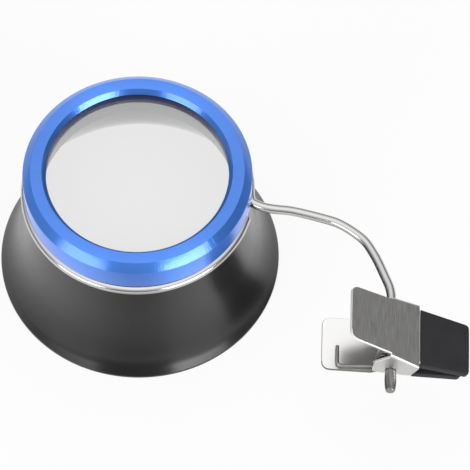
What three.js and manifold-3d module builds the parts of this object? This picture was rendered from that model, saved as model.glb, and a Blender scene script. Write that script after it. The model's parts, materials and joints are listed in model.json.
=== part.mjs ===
// Clip-on eye loupe: a flared eye cone carries a lens under a screwed ring, and a sprung wire
// loop round its neck holds a small two-jaw spring clip at the end of a bent arm.
// Millimetres, +Z up. The loupe stands on the wide rim of its eye cone.
// The optical axis is vertical, and the clip lies to the right of it and towards the front.

import * as THREE from "three";
import { mergeVertices } from "three/addons/utils/BufferGeometryUtils.js";
import Module from "manifold-3d";

const wasm = await Module();
wasm.setup();

// Driving dimensions of the optics
const CLEAR_OPENING = 25;
const LENS_SEAT_WIDTH = 1;
const LENS_SURFACE_RADIUS = 85;
const LENS_EDGE = 1.11;
const LENS_AXIAL_CLEARANCE = 0.05;
const LENS_RADIAL_CLEARANCE = 0.1;

// Driving dimensions of the eye cone. Its wall widens by an even taper and a flare that grows to the rim
const CONE_TAPER = 2.35;
const CONE_FLARE = 2.3;
const CONE_FLARE_POWER = 5;
const RIM_LIP_HEIGHT = 0.4;
const RIM_CHAMFER = 0.3;
const CONE_HEIGHT = 16.75;
const NECK_WALL = 1.7;
const WIRE_SEAT_STEP = 0.4;
const CONE_WALL = 1.2;
const SHOULDER_DROP = 0.9;
const THREAD_CLEARANCE = 0.1;
const THREAD_PITCH = 0.6;
const THREAD_TURNS = 2.25;

// Driving dimensions of the screwed ring
const RING_WALL = 1.4;
const RING_LIP = 1.95;
const RING_OUTER_CHAMFER = 1.06;
const RING_INNER_CHAMFER_WIDTH = 0.56;
const RING_INNER_CHAMFER_DEPTH = 0.7;
const RING_FOOT_CHAMFER = 0.25;
const RING_THREAD_RELIEF = 0.1;
const RING_TO_WIRE_GAP = 0.4;

// Driving dimensions of the wire
const WIRE_DIAMETER = 1.3;
const WIRE_GROOVE_CLEARANCE = 0.2;
const LOOP_GAP_START_DEG = -15.2;
const LOOP_ARC_DEG = 348;
const ARM_REACH = 34.35;
const ARM_DROP = 23.03;
const ARM_FALL = 0.4;
const PIN_BACK = 5.6;
const PIN_FRONT = 7.9;
const CRIMP_LENGTH = 3.6;
const CRIMP_WIDTH = 1.6;
const CRIMP_THICKNESS = 0.95;
const CLIP_YAW_DEG = -1.5;
const CLIP_PITCH_DEG = 20;

// Driving dimensions of the clip's jaws, which are alike apart from their ears
const SHEET = 0.4;
const HANDLE_LENGTH = 7.8;
const LOWER_HANDLE_LONGER_BY = 0.45;
const JAW_BEND_AT = 3.3;
const JAW_REACH = 10.5;
const LOWER_JAW_SHORTER_BY = 0.7;
const HANDLE_WIDTH = 7.9;
const HANDLE_NECK_WIDTH = 8.3;
const EAR_BACK_WIDTH = 9.2;
const EAR_FRONT_WIDTH = 9.9;
const JAW_START_WIDTH = 8;
const JAW_TIP_WIDTH = 7.1;
const HANDLE_END_HEIGHT = 5.07;
const BEND_HEIGHT = 1.94;
const JOGGLE_RUN = 0.2;
const JOGGLE_DROP = 0.45;
const JAW_TIP_HEIGHT = 0.71;
const HANDLE_CORNER_RADIUS = 1.1;
const JAW_CORNER_RADIUS = 0.8;
const PIVOT_OFFSET = 0.55;
const PIN_CLEARANCE = 0.1;
const EAR_CLEARANCE = 0.2;
const EAR_NECK_BACK = 1.3;
const EAR_FOOT_BACK = 2.65;
const EAR_FOOT_RISE = 0.5;
const EAR_NECK_RISE = 2.7;
const EAR_FOOT_DROP = 1.95;
const EAR_NOSE_DROP = 0.45;
const EAR_SIDE_INSET = 0.43;

// Driving dimensions of the rubber sleeves
const SLEEVE_WALL = 0.22;
const SLEEVE_SIDE_WALL = 0.26;
const SLEEVE_END_WALL = 0.3;
const SLEEVE_FIT = 0.04;
const SLEEVE_CORNER_RADIUS = 0.5;

// Driving dimensions of the torsion spring
const SPRING_WIRE = 0.5;
const COIL_PIN_CLEARANCE = 0.4;
const COIL_END_CLEARANCE = 0.15;
const COIL_WHOLE_TURNS = 5;
const SPRING_SEAT_GAP = 0.15;
const LEG_REACH = 6.45;
const LOWER_LEG_SPLAY = 0.4;
const LEG_TIP_BEND_RADIUS = 0.7;
const LEG_TIP_STOP = 0.5;

// How finely curved shapes are divided
const LATHE_SEGMENTS = 72;
const LENS_ARC_STEPS = 5;
const CONE_WALL_STEPS = 8;
const WIRE_SIDES = 8;
const LOOP_ARC_STEPS = 35;
const PIN_STEPS = 4;
const CRIMP_SIDES = 10;
const WIRE_STEPS = 128;
const HOLE_SIDES = 20;
const CORNER_STEPS = 3;
const SPRING_SIDES = 5;
const SPRING_STEPS_PER_TURN = 8;
const GAP_TEST_FINENESS = 4;
const CUT_OVERRUN = 1;

// Surface finishes
const blackAnodised = { color: 0x38383a, roughness: 0.38, metalness: 0.35 };
const blueAnodised = { color: 0x4d7ff0, roughness: 0.3, metalness: 0.8 };
const clearGlass = { color: 0xe4e6ea, roughness: 0.03, metalness: 0, transparent: true, opacity: 0.35 };
const brightWire = { color: 0xd2d1d0, roughness: 0.16, metalness: 1 };
const brushedSheet = { color: 0x8d8c8a, roughness: 0.4, metalness: 0.9 };
const polishedSheet = { color: 0xe8e8e8, roughness: 0.15, metalness: 1 };
const springSteel = { color: 0xb4b4b4, roughness: 0.22, metalness: 1 };
const blackRubber = { color: 0x34353a, roughness: 0.7, metalness: 0 };

// Shared helpers

const radians = THREE.MathUtils.degToRad;

function weld(geometry) {
  const bare = geometry.clone();
  bare.deleteAttribute("normal");
  bare.deleteAttribute("uv");
  const merged = mergeVertices(bare);
  merged.computeVertexNormals();
  return merged;
}

function toSolid(geometry) {
  const welded = weld(geometry);
  return new wasm.Manifold(new wasm.Mesh({
    numProp: 3,
    vertProperties: new Float32Array(welded.attributes.position.array),
    triVerts: new Uint32Array(welded.index.array),
  }));
}

function toGeometry(solid) {
  const mesh = solid.getMesh();
  const geometry = new THREE.BufferGeometry();
  geometry.setAttribute("position", new THREE.BufferAttribute(mesh.vertProperties, 3));
  geometry.setIndex(new THREE.BufferAttribute(mesh.triVerts, 1));
  geometry.computeVertexNormals();
  return geometry;
}

function part(name, geometry, finish) {
  const mesh = new THREE.Mesh(weld(geometry), new THREE.MeshStandardMaterial(finish));
  mesh.name = name;
  return mesh;
}

// A closed outline of [radius, height] points, listed upwards on the outside, turned round Z
function turned(outline) {
  const points = outline.map(([r, z]) => new THREE.Vector2(r, z));
  const geometry = new THREE.LatheGeometry(points, LATHE_SEGMENTS);
  geometry.rotateX(radians(90));
  return geometry;
}

// Eye cone

const boreRadius = CLEAR_OPENING / 2;
const threadRadius = boreRadius + NECK_WALL;
const wireSeatRadius = threadRadius + WIRE_SEAT_STEP;
const coneTopRadius = wireSeatRadius + WIRE_GROOVE_CLEARANCE;
const rimRadius = coneTopRadius + CONE_TAPER + CONE_FLARE;
const wireRadius = WIRE_DIAMETER / 2;
const wireHeight = CONE_HEIGHT + WIRE_GROOVE_CLEARANCE + wireRadius;
const ringFootHeight = wireHeight + wireRadius + RING_TO_WIRE_GAP;
const neckTopHeight = ringFootHeight + THREAD_PITCH * THREAD_TURNS;

function coneRadius(height) {
  const share = Math.min((CONE_HEIGHT - height) / (CONE_HEIGHT - RIM_LIP_HEIGHT), 1);
  return coneTopRadius + CONE_TAPER * share + CONE_FLARE * share ** CONE_FLARE_POWER;
}

// The stretch of a wall between two heights, its radius cut by an inset
function coneWall(from, to, inset) {
  const points = [];
  for (let step = 0; step <= CONE_WALL_STEPS; step += 1) {
    const height = from + (to - from) * step / CONE_WALL_STEPS;
    points.push([coneRadius(height) - inset, height]);
  }
  return points;
}

function eyeCone() {
  const shoulderHeight = CONE_HEIGHT - SHOULDER_DROP;
  return turned([
    [rimRadius - CONE_WALL + RIM_CHAMFER, 0],
    [rimRadius, 0],
    ...coneWall(RIM_LIP_HEIGHT, CONE_HEIGHT, 0),
    [wireSeatRadius, CONE_HEIGHT],
    [wireSeatRadius, ringFootHeight - RING_THREAD_RELIEF],
    [threadRadius, ringFootHeight - RING_THREAD_RELIEF],
    [threadRadius, neckTopHeight],
    [boreRadius, neckTopHeight],
    [boreRadius, shoulderHeight],
    ...coneWall(shoulderHeight, RIM_CHAMFER, CONE_WALL),
    [rimRadius - CONE_WALL + RIM_CHAMFER, 0],
  ]);
}

// Lens: two spherical caps with a narrow cylindrical edge

const lensRadius = boreRadius + LENS_SEAT_WIDTH;

function sag(radius) {
  return LENS_SURFACE_RADIUS - Math.sqrt(LENS_SURFACE_RADIUS ** 2 - radius ** 2);
}

const lensSeatRise = sag(lensRadius) - sag(boreRadius);
const lensLowEdge = neckTopHeight + LENS_AXIAL_CLEARANCE + lensSeatRise;
const lensHighEdge = lensLowEdge + LENS_EDGE;

function lens() {
  const outline = [];
  for (let step = 0; step <= LENS_ARC_STEPS; step += 1) {
    const radius = lensRadius * step / LENS_ARC_STEPS;
    outline.push([radius, lensLowEdge - sag(lensRadius) + sag(radius)]);
  }
  for (let step = LENS_ARC_STEPS; step >= 0; step -= 1) {
    const radius = lensRadius * step / LENS_ARC_STEPS;
    outline.push([radius, lensHighEdge + sag(lensRadius) - sag(radius)]);
  }
  return turned(outline);
}

// Screwed ring, with a lip over the lens and a plain bore where the thread runs

const threadBore = threadRadius + THREAD_CLEARANCE;
const ringRadius = threadBore + RING_WALL;
const lipUnderside = lensHighEdge + lensSeatRise + LENS_AXIAL_CLEARANCE;
const ringTopHeight = lipUnderside + RING_LIP;

function bezelRing() {
  const lensBore = lensRadius + LENS_RADIAL_CLEARANCE;
  const lensPocketFoot = neckTopHeight + RING_THREAD_RELIEF;
  return turned([
    [threadBore, ringFootHeight],
    [ringRadius - RING_FOOT_CHAMFER, ringFootHeight],
    [ringRadius, ringFootHeight + RING_FOOT_CHAMFER],
    [ringRadius, ringTopHeight - RING_OUTER_CHAMFER],
    [ringRadius - RING_OUTER_CHAMFER, ringTopHeight],
    [boreRadius + RING_INNER_CHAMFER_WIDTH, ringTopHeight],
    [boreRadius, ringTopHeight - RING_INNER_CHAMFER_DEPTH],
    [boreRadius, lipUnderside],
    [lensBore, lipUnderside],
    [lensBore, lensPocketFoot],
    [threadBore, lensPocketFoot],
    [threadBore, ringFootHeight],
  ]);
}

// Wire: an open loop round the neck, an arm, and a straight end that is the clip's hinge pin

const loopRadius = wireSeatRadius + WIRE_GROOVE_CLEARANCE + wireRadius;
const clipYaw = radians(CLIP_YAW_DEG);
const pinDirection = new THREE.Vector3(Math.sin(clipYaw), -Math.cos(clipYaw), 0);
const pivot = new THREE.Vector3(ARM_REACH, -ARM_DROP, wireHeight - ARM_FALL);

// Where the arm lies between the loop and the pin, as shares of the way across and down
const ARM_ROUTE_SHARES = [
  [0.012, 0.045],
  [0.072, 0.082],
  [0.138, 0.104],
  [0.292, 0.126],
  [0.402, 0.156],
  [0.512, 0.192],
  [0.621, 0.235],
  [0.73, 0.315],
  [0.819, 0.409],
  [0.878, 0.523],
  [0.913, 0.609],
  [0.953, 0.727],
  [0.99, 0.842],
  [1.001, 0.917],
];

function alongPin(distance) {
  return pivot.clone().addScaledVector(pinDirection, distance);
}

function wirePath() {
  const points = [];
  for (let step = 0; step <= LOOP_ARC_STEPS; step += 1) {
    const angle = radians(LOOP_GAP_START_DEG - LOOP_ARC_DEG * step / LOOP_ARC_STEPS);
    points.push(new THREE.Vector3(
      loopRadius * Math.cos(angle),
      loopRadius * Math.sin(angle),
      wireHeight,
    ));
  }
  const from = points[points.length - 1];
  const to = alongPin(-PIN_BACK);
  for (const [across, down] of ARM_ROUTE_SHARES) {
    points.push(new THREE.Vector3(
      from.x + (to.x - from.x) * across,
      from.y + (to.y - from.y) * down,
      from.z + (to.z - from.z) * across,
    ));
  }
  for (let step = 0; step <= PIN_STEPS; step += 1) {
    points.push(alongPin(-PIN_BACK + (PIN_BACK + PIN_FRONT) * step / PIN_STEPS));
  }
  return new THREE.CatmullRomCurve3(points, false, "centripetal");
}

// The flattened end that keeps the clip on its pin
function crimp() {
  const lozenge = new THREE.SphereGeometry(1, CRIMP_SIDES, CRIMP_SIDES);
  lozenge.rotateX(radians(90));
  lozenge.scale(CRIMP_WIDTH / 2, CRIMP_LENGTH / 2, CRIMP_THICKNESS / 2);
  lozenge.rotateZ(clipYaw);
  const centre = alongPin(PIN_FRONT - CRIMP_LENGTH / 2);
  lozenge.translate(centre.x, centre.y, centre.z);
  return lozenge;
}

function wireArm() {
  const section = new THREE.Shape().absarc(0, 0, wireRadius, 0, 2 * Math.PI);
  const outline = new THREE.Shape(section.getPoints(WIRE_SIDES).slice(0, -1));
  const tube = new THREE.ExtrudeGeometry(outline, { steps: WIRE_STEPS, extrudePath: wirePath() });
  return toGeometry(toSolid(tube).add(toSolid(crimp())));
}

// Clip. Its own frame has the pin along Y, the jaws' tips along +X and the upper jaw above.
// The jaws mirror each other about a mid-plane that lies a little above the pin.

const jawStart = JAW_BEND_AT + JOGGLE_RUN;
const jawStartHeight = BEND_HEIGHT - JOGGLE_DROP;
const handleSlope = (HANDLE_END_HEIGHT - BEND_HEIGHT) / (HANDLE_LENGTH + JAW_BEND_AT);
const jawSlope = (jawStartHeight - JAW_TIP_HEIGHT) / (JAW_REACH - jawStart);
const earFlare = Math.atan(
  (EAR_FRONT_WIDTH - EAR_BACK_WIDTH) / 2 / (JAW_BEND_AT + EAR_NECK_BACK),
);
const earNesting = (SHEET + EAR_CLEARANCE) / Math.cos(earFlare);
const holeRadius = wireRadius + PIN_CLEARANCE;

// Height of the sheet's outer face above the mid-plane, on the handle and on the jaw
function handleHeight(along) {
  return BEND_HEIGHT + handleSlope * (JAW_BEND_AT - along);
}

function jawHeight(along) {
  return jawStartHeight - jawSlope * (along - jawStart);
}

// A side view, listed as [distance along, low height, high height], made solid across the clip
function sideBand(stations, halfWidth) {
  const low = stations.map(([along, lowHeight]) => new THREE.Vector2(along, lowHeight));
  const high = stations.map(([along, , highHeight]) => new THREE.Vector2(along, highHeight));
  return acrossClip(new THREE.Shape([...low, ...high.reverse()]), -halfWidth, halfWidth);
}

// Extrudes a side view over a stretch of the pin's direction
function acrossClip(shape, from, to) {
  const geometry = new THREE.ExtrudeGeometry(shape, { depth: to - from, bevelEnabled: false });
  geometry.rotateX(radians(90));
  geometry.translate(0, to, 0);
  return toSolid(geometry);
}

// Extrudes a view from above, taller than either jaw
function fromAbove(shape) {
  const tall = HANDLE_END_HEIGHT + CUT_OVERRUN;
  const geometry = new THREE.ExtrudeGeometry(shape, {
    depth: 2 * tall,
    bevelEnabled: false,
    curveSegments: CORNER_STEPS,
  });
  geometry.translate(0, 0, -tall);
  return toSolid(geometry);
}

// A view from above whose half widths are listed at distances along, with rounded end corners
function planShape(halfWidths, backCorner, frontCorner) {
  const near = halfWidths.map(([along, half]) => [along, -half]);
  const far = halfWidths.map(([along, half]) => [along, half]).reverse();
  const [back, backHalf] = halfWidths[0];
  const [front, frontHalf] = halfWidths[halfWidths.length - 1];
  const shape = new THREE.Shape();
  shape.moveTo(back + backCorner, -backHalf);
  near.slice(1, -1).forEach(([x, y]) => shape.lineTo(x, y));
  shape.lineTo(front - frontCorner, -frontHalf);
  if (frontCorner > 0) {
    shape.quadraticCurveTo(front, -frontHalf, front, -frontHalf + frontCorner);
  }
  shape.lineTo(front, frontHalf - frontCorner);
  if (frontCorner > 0) {
    shape.quadraticCurveTo(front, frontHalf, front - frontCorner, frontHalf);
  }
  far.slice(1, -1).forEach(([x, y]) => shape.lineTo(x, y));
  shape.lineTo(back + backCorner, backHalf);
  if (backCorner > 0) {
    shape.quadraticCurveTo(back, backHalf, back, backHalf - backCorner);
    shape.lineTo(back, -backHalf + backCorner);
    shape.quadraticCurveTo(back, -backHalf, back + backCorner, -backHalf);
  }
  return shape;
}

// One ear seen from the side: a neck under the sheet and a foot that reaches past the pin
function earOutline() {
  const points = [
    [-EAR_FOOT_BACK + EAR_SIDE_INSET, -EAR_FOOT_DROP],
    [JAW_BEND_AT - EAR_SIDE_INSET, -EAR_NOSE_DROP],
    [JAW_BEND_AT, handleHeight(JAW_BEND_AT) - SHEET / 2],
    [-EAR_NECK_BACK, handleHeight(-EAR_NECK_BACK) - SHEET / 2],
    [-EAR_NECK_BACK, EAR_NECK_RISE],
    [-EAR_FOOT_BACK, EAR_FOOT_RISE],
  ];
  return new THREE.Shape(points.map(([x, y]) => new THREE.Vector2(x, y)));
}

// An ear on the near side: its outer face starts at the half width and flares towards the jaw
function nearEar(backHalfWidth) {
  const geometry = new THREE.ExtrudeGeometry(earOutline(), { depth: SHEET, bevelEnabled: false });
  geometry.rotateX(radians(90));
  geometry.translate(EAR_NECK_BACK, SHEET, 0);
  geometry.rotateZ(-earFlare);
  geometry.translate(-EAR_NECK_BACK, -backHalfWidth, 0);
  return toSolid(geometry);
}

// One jaw, made as the upper one: bent sheet, two ears and a hole for the pin.
// The lower jaw is drawn in by a nesting distance, so that its ears fit inside the upper ones.
function jaw(nesting, handleLength, reach, pinHeight) {
  const sheetStations = [
    [-handleLength, handleHeight(-handleLength)],
    [JAW_BEND_AT, BEND_HEIGHT],
    [jawStart, jawStartHeight],
    [reach, jawHeight(reach)],
  ].map(([along, height]) => [along, height - SHEET, height]);
  const backHalf = EAR_BACK_WIDTH / 2 - nesting;
  const neckHalf = Math.min(HANDLE_NECK_WIDTH / 2, backHalf);
  const stepOut = neckHalf < backHalf ? [[-EAR_NECK_BACK, backHalf]] : [];
  const plan = planShape(
    [
      [-handleLength, HANDLE_WIDTH / 2],
      [-EAR_NECK_BACK, neckHalf],
      ...stepOut,
      [JAW_BEND_AT, EAR_FRONT_WIDTH / 2 - nesting],
      [jawStart, JAW_START_WIDTH / 2],
      [reach, JAW_TIP_WIDTH / 2],
    ],
    HANDLE_CORNER_RADIUS,
    JAW_CORNER_RADIUS,
  );
  const sheet = sideBand(sheetStations, EAR_FRONT_WIDTH).intersect(fromAbove(plan));
  const ear = nearEar(backHalf);
  const farEar = ear.mirror([0, 1, 0]);
  const drill = new THREE.CylinderGeometry(
    holeRadius,
    holeRadius,
    2 * EAR_FRONT_WIDTH,
    HOLE_SIDES,
  );
  drill.translate(0, 0, pinHeight);
  return toGeometry(sheet.add(ear).add(farEar).subtract(toSolid(drill)));
}

// A rubber sleeve: a closed-ended sock round the jaw
function sleeve(reach) {
  const start = jawStart + SLEEVE_FIT;
  const pocketEnd = reach + SLEEVE_FIT;
  const end = pocketEnd + SLEEVE_END_WALL;
  const skin = SLEEVE_FIT + SLEEVE_WALL;
  const band = (along, grown) => [along, jawHeight(along) - SHEET - grown, jawHeight(along) + grown];
  const widths = (grown, first, last) => [
    [first, JAW_START_WIDTH / 2 + grown],
    [last, JAW_TIP_WIDTH / 2 + grown],
  ];
  const outerPlan = planShape(
    widths(SLEEVE_FIT + SLEEVE_SIDE_WALL, start, end),
    0,
    SLEEVE_CORNER_RADIUS,
  );
  const outer = sideBand([band(start, skin), band(end, skin)], EAR_FRONT_WIDTH)
    .intersect(fromAbove(outerPlan));
  const mouth = start - CUT_OVERRUN;
  const pocketPlan = planShape(widths(SLEEVE_FIT, mouth, pocketEnd), 0, 0);
  const pocket = sideBand([band(mouth, SLEEVE_FIT), band(pocketEnd, SLEEVE_FIT)], EAR_FRONT_WIDTH)
    .intersect(fromAbove(pocketPlan));
  return toGeometry(outer.subtract(pocket));
}

// Torsion spring: a bent tip, a leg under the upper handle, the coil, and the same below.
// The coil runs round the pin and fills the room between the lower jaw's ears.

const springRadius = SPRING_WIRE / 2;
const coilRadius = wireRadius + COIL_PIN_CLEARANCE + springRadius;
const coilHalfLength = EAR_BACK_WIDTH / 2 - earNesting - SHEET - COIL_END_CLEARANCE - springRadius;

function legEnd(side) {
  const innerFace = side * (handleHeight(-LEG_REACH) - SHEET) + PIVOT_OFFSET;
  const standOff = springRadius + SPRING_SEAT_GAP;
  return new THREE.Vector2(-LEG_REACH, innerFace - side * standOff);
}

function springPoints(stepsPerTurn) {
  const halves = [1, -1].map((side) => {
    const end = legEnd(side);
    const lean = Math.acos(coilRadius / end.length());
    const tangentAngle = end.angle() - side * lean;
    return { end, tangentAngle };
  });
  const upperAngle = halves[0].tangentAngle;
  const lowerAngle = halves[1].tangentAngle - 2 * Math.PI;
  const sweep = upperAngle - lowerAngle + 2 * Math.PI * COIL_WHOLE_TURNS;
  const steps = Math.ceil(stepsPerTurn * sweep / (2 * Math.PI));
  const coil = [];
  for (let step = 0; step <= steps; step += 1) {
    const angle = upperAngle - sweep * step / steps;
    coil.push(new THREE.Vector3(
      coilRadius * Math.cos(angle),
      coilHalfLength * (1 - 2 * step / steps),
      coilRadius * Math.sin(angle),
    ));
  }
  const upperLeg = legPoints(halves[0].end, coil[0], 0, stepsPerTurn);
  const lowerStart = coil[coil.length - 1];
  const lowerLeg = legPoints(halves[1].end, lowerStart, -LOWER_LEG_SPLAY, stepsPerTurn);
  return [...upperLeg.reverse(), ...coil, ...lowerLeg];
}

// From the coil out to the bend, round it, and across towards the middle of the clip
function legPoints(end, from, splay, stepsPerTurn) {
  const corner = new THREE.Vector3(end.x, from.y + splay, end.y);
  const outward = corner.clone().sub(from).normalize();
  const inward = new THREE.Vector3(0, -Math.sign(from.y), 0);
  const bendStart = corner.clone().addScaledVector(outward, -LEG_TIP_BEND_RADIUS);
  const bendSteps = Math.ceil(stepsPerTurn / 4);
  const points = [from.clone().lerp(bendStart, 0.5)];
  for (let step = 0; step <= bendSteps; step += 1) {
    const turn = Math.PI / 2 * step / bendSteps;
    points.push(bendStart.clone()
      .addScaledVector(outward, LEG_TIP_BEND_RADIUS * Math.sin(turn))
      .addScaledVector(inward, LEG_TIP_BEND_RADIUS * (1 - Math.cos(turn))));
  }
  points.push(new THREE.Vector3(corner.x, Math.sign(from.y) * LEG_TIP_STOP, corner.z));
  return points;
}

// A closed tube through points, its section carried along without twist
function tubeThrough(points, radius, sides) {
  const last = points.length - 1;
  const positions = [];
  const index = [];
  const heading = (at) => points[Math.min(at + 1, last)].clone()
    .sub(points[Math.max(at - 1, 0)]).normalize();
  let across = new THREE.Vector3(1, 0, 0);
  points.forEach((point, at) => {
    const tangent = heading(at);
    across = across.clone().addScaledVector(tangent, -across.dot(tangent)).normalize();
    const upward = tangent.clone().cross(across);
    for (let side = 0; side < sides; side += 1) {
      const angle = 2 * Math.PI * side / sides;
      const corner = point.clone()
        .addScaledVector(across, radius * Math.cos(angle))
        .addScaledVector(upward, radius * Math.sin(angle));
      positions.push(corner.x, corner.y, corner.z);
    }
  });
  for (let at = 0; at < last; at += 1) {
    for (let side = 0; side < sides; side += 1) {
      const a = at * sides + side;
      const b = at * sides + (side + 1) % sides;
      index.push(a, b, a + sides, b, b + sides, a + sides);
    }
  }
  const endRing = last * sides;
  for (let side = 1; side < sides - 1; side += 1) {
    index.push(0, side + 1, side, endRing, endRing + side, endRing + side + 1);
  }
  const geometry = new THREE.BufferGeometry();
  geometry.setAttribute("position", new THREE.Float32BufferAttribute(positions, 3));
  geometry.setIndex(index);
  return geometry;
}

// The least distance between the spring's surface and itself, past the next half turn
function leastSelfGap(points) {
  let least = Infinity;
  const travelled = [0];
  for (let at = 1; at < points.length; at += 1) {
    travelled.push(travelled[at - 1] + points[at].distanceTo(points[at - 1]));
  }
  for (let a = 0; a < points.length; a += 1) {
    for (let b = a + 1; b < points.length; b += 1) {
      if (travelled[b] - travelled[a] > Math.PI * coilRadius) {
        least = Math.min(least, points[a].distanceTo(points[b]));
      }
    }
  }
  return least - SPRING_WIRE;
}

// Assembly: everything is placed from the optical axis, with the rim at height zero

const onAxis = new THREE.Group();
onAxis.add(
  part("eye_cone", eyeCone(), blackAnodised),
  part("lens", lens(), clearGlass),
  part("bezel_ring", bezelRing(), blueAnodised),
  part("wire_arm", wireArm(), brightWire),
);

const clip = new THREE.Group();
clip.position.copy(pivot);
clip.rotation.z = clipYaw;
onAxis.add(clip);

const pitched = new THREE.Group();
pitched.rotation.y = radians(CLIP_PITCH_DEG);
clip.add(pitched);

const lowerReach = JAW_REACH - LOWER_JAW_SHORTER_BY;
const lowerHandle = HANDLE_LENGTH + LOWER_HANDLE_LONGER_BY;
const upper = new THREE.Group();
upper.position.z = PIVOT_OFFSET;
upper.add(
  part("upper_jaw", jaw(0, HANDLE_LENGTH, JAW_REACH, -PIVOT_OFFSET), brushedSheet),
  part("upper_jaw_sleeve", sleeve(JAW_REACH), blackRubber),
);
const lower = new THREE.Group();
lower.position.z = PIVOT_OFFSET;
lower.rotation.x = radians(180);
lower.add(
  part("lower_jaw", jaw(earNesting, lowerHandle, lowerReach, PIVOT_OFFSET), polishedSheet),
  part("lower_jaw_sleeve", sleeve(lowerReach), blackRubber),
);
const spring = part(
  "torsion_spring",
  tubeThrough(springPoints(SPRING_STEPS_PER_TURN), springRadius, SPRING_SIDES),
  springSteel,
);
pitched.add(upper, lower, spring);

const springGap = leastSelfGap(springPoints(SPRING_STEPS_PER_TURN * GAP_TEST_FINENESS));
console.log(`torsion_spring: least gap to itself ${springGap.toFixed(2)} mm`);

// The origin is under the middle of the whole part, on the surface it stands on
const loupe = new THREE.Group();
loupe.add(onAxis);
loupe.updateMatrixWorld(true);
const extent = new THREE.Box3().setFromObject(onAxis, true);
const middle = extent.getCenter(new THREE.Vector3());
onAxis.position.set(-middle.x, -middle.y, -extent.min.z);

export default loupe;
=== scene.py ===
"""Clip-on eye loupe, dressed for its studio picture.

Sizes are in millimetres in the loupe's own frame, whose Z axis is the optical axis, with the wide rim
of the eye cone at height zero. The clip's pieces are drawn round its pin, with X towards the tips.
Each piece is then placed in the shared frame, in metres.
"""

import json
import math

import bmesh
import bpy
import numpy as np
from mathutils import Matrix, Vector
from mathutils.geometry import delaunay_2d_cdt


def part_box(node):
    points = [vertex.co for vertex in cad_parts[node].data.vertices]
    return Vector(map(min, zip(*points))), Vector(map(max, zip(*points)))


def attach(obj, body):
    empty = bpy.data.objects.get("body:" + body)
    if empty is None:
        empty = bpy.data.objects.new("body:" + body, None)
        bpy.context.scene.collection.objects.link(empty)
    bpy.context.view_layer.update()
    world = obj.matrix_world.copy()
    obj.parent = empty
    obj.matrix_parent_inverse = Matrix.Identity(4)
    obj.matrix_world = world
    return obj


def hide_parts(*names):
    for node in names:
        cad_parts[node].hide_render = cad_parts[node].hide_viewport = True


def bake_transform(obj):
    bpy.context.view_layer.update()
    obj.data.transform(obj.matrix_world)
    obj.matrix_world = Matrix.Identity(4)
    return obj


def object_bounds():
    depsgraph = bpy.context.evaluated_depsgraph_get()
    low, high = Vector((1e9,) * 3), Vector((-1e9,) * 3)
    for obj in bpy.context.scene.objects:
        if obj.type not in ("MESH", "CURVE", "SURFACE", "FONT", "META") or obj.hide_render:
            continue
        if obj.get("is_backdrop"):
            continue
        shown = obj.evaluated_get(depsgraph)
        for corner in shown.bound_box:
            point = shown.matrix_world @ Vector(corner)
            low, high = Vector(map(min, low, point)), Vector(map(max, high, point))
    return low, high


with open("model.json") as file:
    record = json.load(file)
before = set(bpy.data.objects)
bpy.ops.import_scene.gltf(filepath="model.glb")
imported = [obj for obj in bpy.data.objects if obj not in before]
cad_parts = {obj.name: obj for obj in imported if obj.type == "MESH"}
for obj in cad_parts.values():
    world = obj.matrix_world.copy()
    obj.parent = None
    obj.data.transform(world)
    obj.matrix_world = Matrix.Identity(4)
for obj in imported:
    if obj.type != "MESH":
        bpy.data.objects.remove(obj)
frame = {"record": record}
cad_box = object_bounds()

MM = 0.001

# Lens
BORE_RADIUS = 12.5
LENS_RADIUS = 13.5
LENS_SURFACE_RADIUS = 85
LENS_EDGE = 1.11
LENS_EDGE_CHAMFER = 0.12
LENS_GROUND_FROM = 12.6
LENS_AXIAL_CLEARANCE = 0.05

# Eye cone. Its wall widens by an even taper and a flare that grows to the rim
CONE_TAPER = 2.35
CONE_FLARE = 2.3
CONE_FLARE_POWER = 5
CONE_WALL = 1.2
CONE_TOP_RADIUS = 14.8
CONE_TOP = 16.75
RIM_RADIUS = CONE_TOP_RADIUS + CONE_TAPER + CONE_FLARE
RIM_LIP = 0.4
RIM_LIP_BLEND = 0.15
RIM_CHAMFER = 0.3
RIM_EDGE = 0.1
SHOULDER = 15.85
WIRE_SEAT_RADIUS = 14.6
NECK_STEP = 18.55
NECK_TOP = 20.0
NECK_EDGE = 0.06
FINE_EDGE = 0.05

# Thread, which fades out a little short of what bounds it
THREAD_RADIUS = 14.2
THREAD_PITCH = 0.6
THREAD_DEPTH = 0.22
THREAD_FOOT_GAP = 0.05
THREAD_TOP_GAP = 0.15

# Screwed ring
RING_RADIUS = 15.7
RING_FOOT = 18.65
RING_FOOT_CHAMFER = 0.25
RING_LIP = 1.95
RING_OUTER_CHAMFER = 1.06
RING_INNER_CHAMFER_WIDTH = 0.56
RING_INNER_CHAMFER_DEPTH = 0.7
RING_BORE = 14.3
LENS_POCKET_RADIUS = 13.6
LENS_POCKET_FOOT = 20.1

# Wire. The arm's route is given as shares of its way across and down, and of its way to the front
WIRE_RADIUS = 0.65
WIRE_HEIGHT = 17.6
LOOP_RADIUS = 15.45
LOOP_GAP_START_DEG = -15.2
LOOP_ARC_DEG = 348
ARM_ROUTE_SHARES = [
    (0.012, 0.045), (0.072, 0.082), (0.138, 0.104), (0.292, 0.126), (0.402, 0.156),
    (0.512, 0.192), (0.621, 0.235), (0.73, 0.315), (0.819, 0.409), (0.878, 0.523),
    (0.913, 0.609), (0.953, 0.727), (0.99, 0.842), (1.001, 0.917),
]
PIVOT = Vector((34.35, -23.03, 17.2))
PIN_BACK = 5.6
PIN_FRONT = 7.9
CRIMP_LENGTH = 3.6
CRIMP_HALF_WIDTH = 0.8
CRIMP_HALF_THICKNESS = 0.48
CRIMP_FULLNESS = 0.8
WIRE_END_ROUNDING = 0.22

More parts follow.
